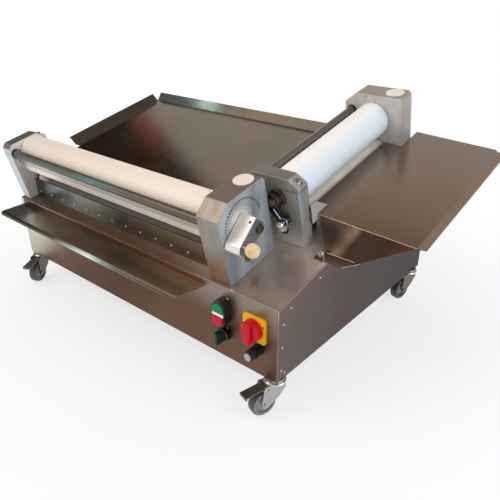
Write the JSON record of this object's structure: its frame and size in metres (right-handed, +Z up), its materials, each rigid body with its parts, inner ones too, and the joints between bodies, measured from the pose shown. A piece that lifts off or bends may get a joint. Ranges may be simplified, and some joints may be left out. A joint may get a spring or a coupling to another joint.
{
  "type": "dough rolling machine",
  "caption": "Inclined bench dough roller with crossed roller stations, gap levers, table, trays, front controls and swivel casters.",
  "frame": {"origin": "on the floor below the middle of the whole outline", "axes": "+X to the right along the front panel, +Y to the back, +Z up"},
  "size_m": [0.9686, 0.6342, 0.486],
  "materials": {
    "stainless_sheet": "brushed stainless sheet",
    "aluminium_block": "milled aluminium",
    "cream_plastic": "warm white smooth plastic",
    "white_plastic": "cool white smooth plastic",
    "steel_shaft": "ground steel",
    "bright_steel": "bright plated",
    "bronze": "plain bronze",
    "gear_steel": "cut steel teeth",
    "motor_paint": "grey paint",
    "black_plastic": "matte black",
    "green_plastic": "green",
    "red_plastic": "red",
    "yellow_plastic": "yellow",
    "lens_plastic": "white diffuser",
    "pale_knob": "pale smooth ball",
    "caster_steel": "zinc plated",
    "wheel_rubber": "dark grey rubber"
  },
  "bodies": {
    "frame": {"front_panel": "stainless_sheet", "deck_sheet": "stainless_sheet", "back_panel": "stainless_sheet", "side_panels": "stainless_sheet", "base_plate": "stainless_sheet", "table_sheet": "stainless_sheet", "infeed_tray": "stainless_sheet", "catch_tray": "stainless_sheet", "front_apron": "stainless_sheet", "start_stop_body": "black_plastic", "pilot_lens": "lens_plastic", "main_switch_plate": "yellow_plastic", "switch_bodies": "black_plastic", "speed_controller": "motor_paint", "cable_gland": "black_plastic", "caster_heads": "caster_steel", "front_left_block": "aluminium_block", "front_left_cap": "aluminium_block", "front_right_block": "aluminium_block", "front_guard_bar": "steel_shaft", "front_scraper": "stainless_sheet", "front_gearmotor": "motor_paint", "right_near_block": "aluminium_block", "right_near_cap": "aluminium_block", "right_far_block": "aluminium_block", "right_guard_bar": "steel_shaft", "right_scraper": "stainless_sheet", "right_gearmotor": "motor_paint", "bore_plugs": "cream_plastic", "roller_bushes": "bronze", "fixing_screws": "bright_steel"},
    "front_gap_lever": {"front_axle": "steel_shaft", "front_lever": "aluminium_block"},
    "front_index_pin": {"front_index_pin": "pale_knob"},
    "front_upper_roller": {"front_upper_roller": "cream_plastic"},
    "front_lower_roller": {"front_lower_roller": "cream_plastic", "front_roller_gear": "gear_steel"},
    "front_motor_gear": {"front_motor_gear": "gear_steel"},
    "right_gap_lever": {"right_axle": "steel_shaft", "right_lever": "aluminium_block"},
    "right_index_pin": {"right_index_pin": "bright_steel"},
    "right_upper_roller": {"right_upper_roller": "white_plastic"},
    "right_lower_roller": {"right_lower_roller": "white_plastic", "right_roller_gear": "gear_steel"},
    "right_motor_gear": {"right_motor_gear": "gear_steel"},
    "start_button": {"start_button": "green_plastic"},
    "stop_button": {"stop_button": "red_plastic"},
    "selector_knob": {"selector_knob": "black_plastic"},
    "main_switch_knob": {"main_switch_knob": "red_plastic"},
    "speed_knob": {"speed_knob": "black_plastic"},
    "front_left_fork": {"front_left_fork": "caster_steel"},
    "front_left_wheel": {"front_left_wheel": "wheel_rubber"},
    "front_left_pedal": {"front_left_pedal": "caster_steel"},
    "front_right_fork": {"front_right_fork": "caster_steel"},
    "front_right_wheel": {"front_right_wheel": "wheel_rubber"},
    "front_right_pedal": {"front_right_pedal": "caster_steel"},
    "back_left_fork": {"back_left_fork": "caster_steel"},
    "back_left_wheel": {"back_left_wheel": "wheel_rubber"},
    "back_right_fork": {"back_right_fork": "caster_steel"},
    "back_right_wheel": {"back_right_wheel": "wheel_rubber"}
  },
  "joints": [
    {"name": "front_gap", "type": "hinge", "parent": "frame", "child": "front_gap_lever", "pos_m": [0.2238, -0.21636, 0.32537], "axis": [1, 0, 0], "range_deg": [-186, 0]},
    {"name": "front_index_pull", "type": "slide", "parent": "front_gap_lever", "child": "front_index_pin", "axis": [1, 0, 0], "range_m": [0, 0.006], "stiffness_N_per_m": 500},
    {"name": "front_upper_spin", "type": "hinge", "parent": "front_gap_lever", "child": "front_upper_roller", "pos_m": [-0.1212, -0.21693, 0.3278], "axis": [1, 0, 0], "continuous": true},
    {"name": "front_lower_spin", "type": "hinge", "parent": "frame", "child": "front_lower_roller", "pos_m": [-0.1212, -0.20141, 0.2616], "axis": [1, 0, 0], "continuous": true},
    {"name": "front_motor_spin", "type": "hinge", "parent": "frame", "child": "front_motor_gear", "pos_m": [-0.4102, -0.18702, 0.20027], "axis": [1, 0, 0], "continuous": true},
    {"name": "right_gap", "type": "hinge", "parent": "frame", "child": "right_gap_lever", "pos_m": [0.2273, -0.12631, 0.34649], "axis": [0, -0.9736, -0.2284], "range_deg": [0, 138]},
    {"name": "right_index_pull", "type": "slide", "parent": "right_gap_lever", "child": "right_index_pin", "axis": [0, -0.9736, -0.2284], "range_m": [0, 0.006], "stiffness_N_per_m": 500},
    {"name": "right_upper_spin", "type": "hinge", "parent": "right_gap_lever", "child": "right_upper_roller", "pos_m": [0.2273, 0.04885, 0.39014], "axis": [0, 0.9736, 0.2284], "continuous": true},
    {"name": "right_lower_spin", "type": "hinge", "parent": "frame", "child": "right_lower_roller", "pos_m": [0.2273, 0.06438, 0.32394], "axis": [0, 0.9736, 0.2284], "continuous": true},
    {"name": "right_motor_spin", "type": "hinge", "parent": "frame", "child": "right_motor_gear", "pos_m": [0.2273, -0.06191, 0.22961], "axis": [0, 0.9736, 0.2284], "continuous": true},
    {"name": "start_push", "type": "slide", "parent": "frame", "child": "start_button", "axis": [0, 1, 0], "range_m": [0, 0.003], "stiffness_N_per_m": 800},
    {"name": "stop_push", "type": "slide", "parent": "frame", "child": "stop_button", "axis": [0, 1, 0], "range_m": [0, 0.003], "stiffness_N_per_m": 800},
    {"name": "selector_turn", "type": "hinge", "parent": "frame", "child": "selector_knob", "pos_m": [0.2133, -0.25563, 0.1215], "axis": [0, 1, 0], "range_deg": [-45, 45]},
    {"name": "main_switch_turn", "type": "hinge", "parent": "frame", "child": "main_switch_knob", "pos_m": [0.2833, -0.25563, 0.164], "axis": [0, 1, 0], "range_deg": [0, 90]},
    {"name": "speed_turn", "type": "hinge", "parent": "frame", "child": "speed_knob", "pos_m": [0.2888, -0.25563, 0.1215], "axis": [0, 1, 0], "range_deg": [-140, 140]},
    {"name": "front_left_swivel", "type": "hinge", "parent": "frame", "child": "front_left_fork", "pos_m": [-0.4342, -0.24063, 0.0705], "axis": [0, 0, 1], "continuous": true},
    {"name": "front_left_roll", "type": "hinge", "parent": "front_left_fork", "child": "front_left_wheel", "pos_m": [-0.42236, -0.2649, 0.025], "axis": [0.8988, 0.4384, 0], "continuous": true},
    {"name": "front_left_brake", "type": "hinge", "parent": "front_left_fork", "child": "front_left_pedal", "pos_m": [-0.42433, -0.26086, 0.0565], "axis": [0.8988, 0.4384, 0], "range_deg": [0, 12]},
    {"name": "front_right_swivel", "type": "hinge", "parent": "frame", "child": "front_right_fork", "pos_m": [0.3158, -0.24063, 0.0705], "axis": [0, 0, 1], "continuous": true},
    {"name": "front_right_roll", "type": "hinge", "parent": "front_right_fork", "child": "front_right_wheel", "pos_m": [0.30746, -0.26631, 0.025], "axis": [0.9511, -0.309, 0], "continuous": true},
    {"name": "front_right_brake", "type": "hinge", "parent": "front_right_fork", "child": "front_right_pedal", "pos_m": [0.30885, -0.26203, 0.0565], "axis": [0.9511, -0.309, 0], "range_deg": [0, 12]},
    {"name": "back_left_swivel", "type": "hinge", "parent": "frame", "child": "back_left_fork", "pos_m": [-0.4372, 0.27413, 0.0705], "axis": [0, 0, 1], "continuous": true},
    {"name": "back_left_roll", "type": "hinge", "parent": "back_left_fork", "child": "back_left_wheel", "pos_m": [-0.43251, 0.24754, 0.025], "axis": [0.9848, 0.1736, 0], "continuous": true},
    {"name": "back_right_swivel", "type": "hinge", "parent": "frame", "child": "back_right_fork", "pos_m": [0.3188, 0.27413, 0.0705], "axis": [0, 0, 1], "continuous": true},
    {"name": "back_right_roll", "type": "hinge", "parent": "back_right_fork", "child": "back_right_wheel", "pos_m": [0.31412, 0.24754, 0.025], "axis": [0.9848, -0.1736, 0], "continuous": true}
  ],
  "couplings": [
    {"joint": "front_motor_spin", "follows": "front_lower_spin", "ratio": -0.61538},
    {"joint": "right_motor_spin", "follows": "right_lower_spin", "ratio": -0.61538}
  ]
}
